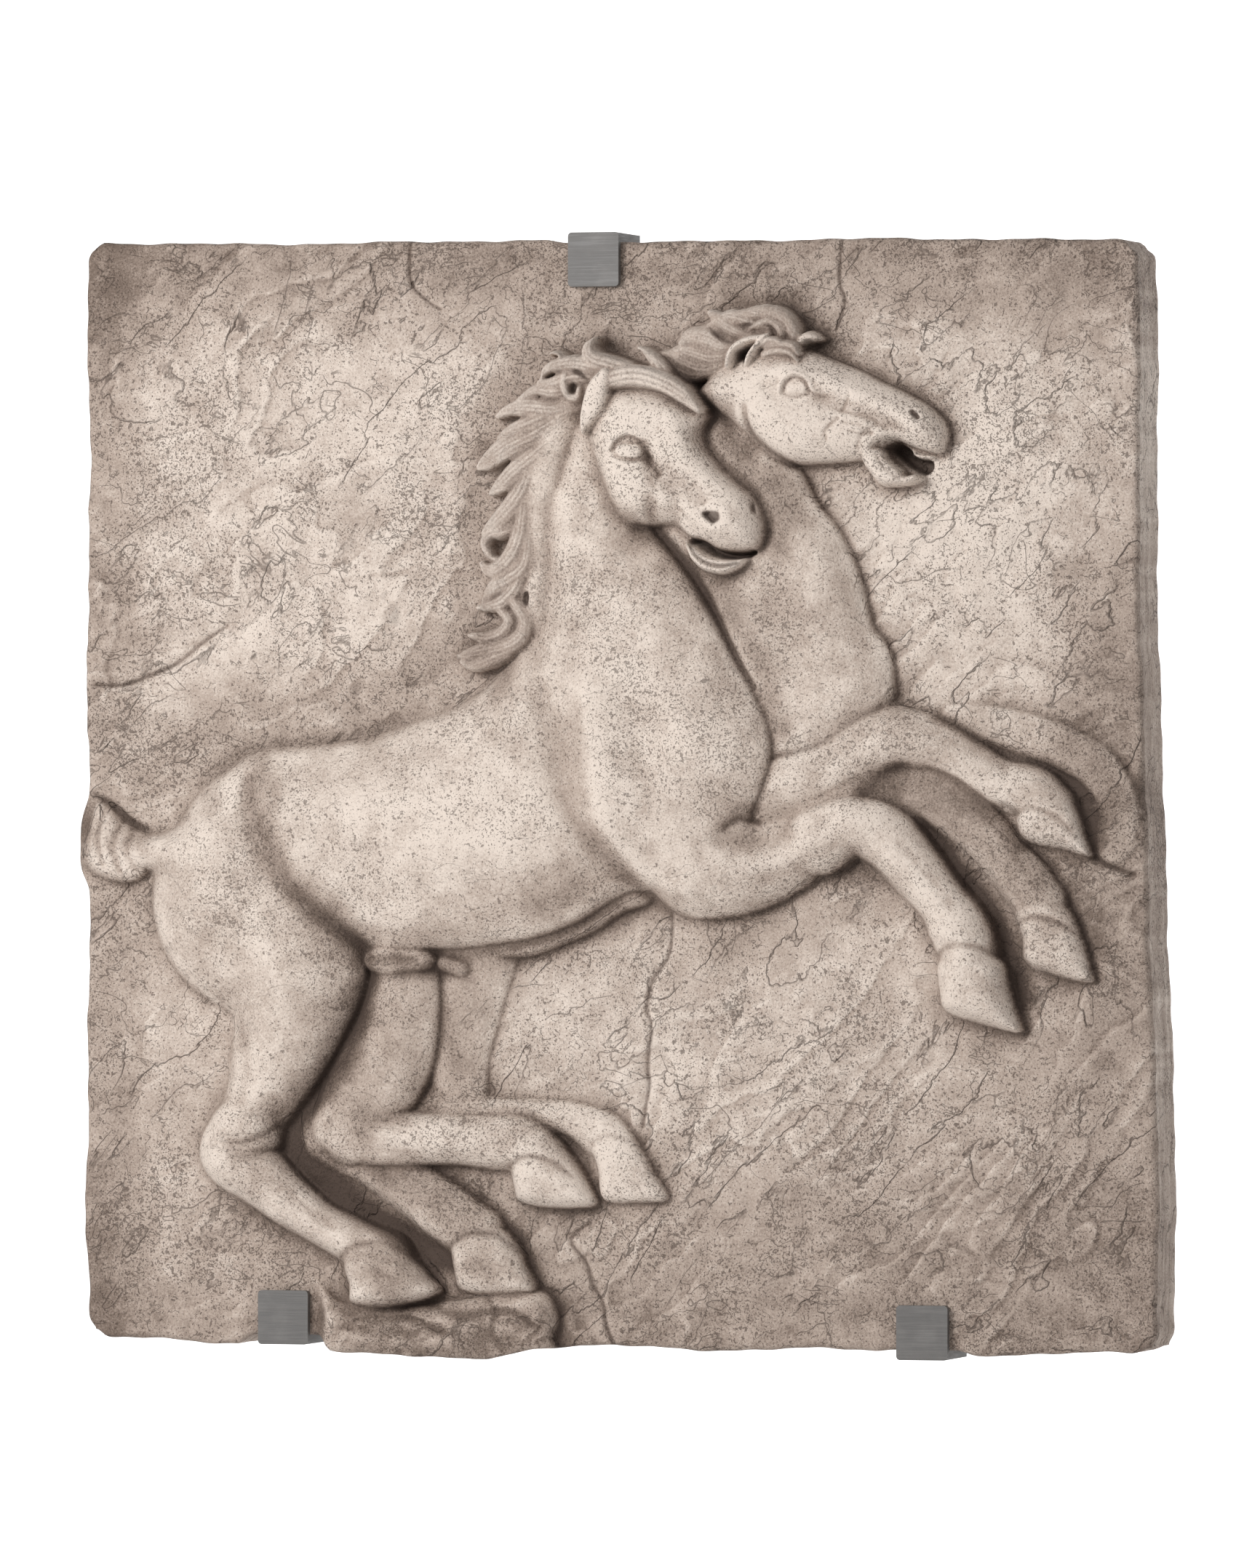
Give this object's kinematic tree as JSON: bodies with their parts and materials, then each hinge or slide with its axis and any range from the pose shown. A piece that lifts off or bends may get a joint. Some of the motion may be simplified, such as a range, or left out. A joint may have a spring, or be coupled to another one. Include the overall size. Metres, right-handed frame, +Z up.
{
  "type": "horse wall plaque",
  "caption": "Square cast wall plaque with two rearing horses in high relief, held to the wall by flat painted clips.",
  "frame": {"origin": "centre of the slab's flat back, where it lies against the wall", "axes": "+Z up, -Y out of the wall towards the viewer, +X to the viewer's right"},
  "size_m": [0.8538, 0.1107, 0.858],
  "materials": {
    "cast_stone": "matt cast stone look, warm grey beige with a dark brown wash in the hollows",
    "clip_paint": "brushed on matt grey paint"
  },
  "bodies": {
    "root": {"relief_panel": "cast_stone", "top_clip": "clip_paint", "lower_left_clip": "clip_paint", "lower_right_clip": "clip_paint"}
  },
  "joints": []
}
